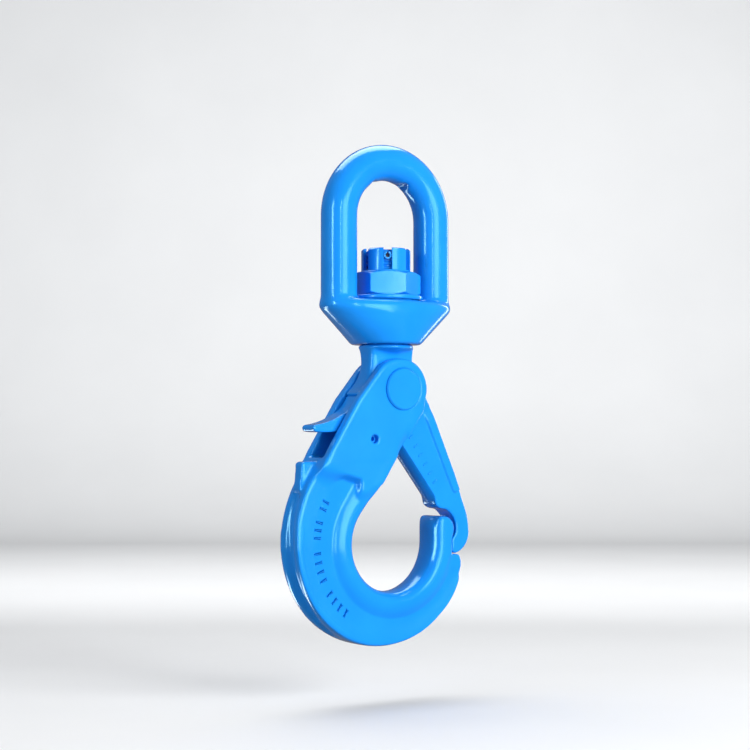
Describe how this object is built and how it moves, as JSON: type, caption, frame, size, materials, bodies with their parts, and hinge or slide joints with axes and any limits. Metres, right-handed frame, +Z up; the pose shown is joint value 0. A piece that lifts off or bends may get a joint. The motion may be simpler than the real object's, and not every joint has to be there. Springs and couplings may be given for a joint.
{
  "type": "swivel self-locking hook",
  "caption": "Self-locking lifting hook with a swivel eye: the forged hook swings on a pin to open past its gate, and a thumb trigger locks it shut.",
  "frame": {"origin": "inside of the eye's crown, where the ring or link above bears, on the swivel axis", "axes": "+Z up along the swivel axis, +X towards the gate, +Y to the back; the forgings' mid-plane is Y = 0"},
  "size_m": [0.1118, 0.043, 0.2634],
  "materials": {
    "blue_paint": "glossy bright blue powder coat over forged alloy steel",
    "bearing_steel": "ground and polished bearing steel with a film of grease",
    "cage_steel": "pressed steel cage, satin",
    "spring_steel": "oil-tempered spring wire"
  },
  "bodies": {
    "eye": {"swivel_eye": "blue_paint", "bearing_lower_race": "bearing_steel"},
    "ball_cage": {"bearing_balls": "bearing_steel", "bearing_cage": "cage_steel"},
    "latch_arm": {"latch_arm": "blue_paint", "bearing_upper_race": "blue_paint", "castle_nut": "blue_paint", "nut_roll_pin": "blue_paint"},
    "hook": {"hook_body": "blue_paint", "load_pin": "blue_paint", "trigger_pin": "blue_paint", "trigger_spring": "spring_steel"},
    "trigger": {"trigger": "blue_paint"}
  },
  "joints": [
    {"name": "swivel", "type": "hinge", "parent": "eye", "child": "latch_arm", "pos_m": [0, 0, -0.0755], "axis": [0, 0, 1], "continuous": true},
    {"name": "cage_spin", "type": "hinge", "parent": "eye", "child": "ball_cage", "pos_m": [0, 0, -0.0666], "axis": [0, 0, 1], "continuous": true},
    {"name": "hook_opening", "type": "hinge", "parent": "latch_arm", "child": "hook", "pos_m": [0.003, 0, -0.1105], "axis": [0, 1, 0], "range_deg": [0, 28]},
    {"name": "trigger_release", "type": "hinge", "parent": "hook", "child": "trigger", "pos_m": [-0.0152, 0, -0.1366], "axis": [0, -1, 0], "range_deg": [0, 23], "stiffness_Nm_per_rad": 0.12, "springref_deg": -20.05, "deforming": ["trigger_spring"]}
  ],
  "couplings": [
    {"joint": "cage_spin", "follows": "swivel", "ratio": 0.5},
    {"joint": "trigger_release", "follows": "hook_opening", "ratio": 0.8}
  ]
}
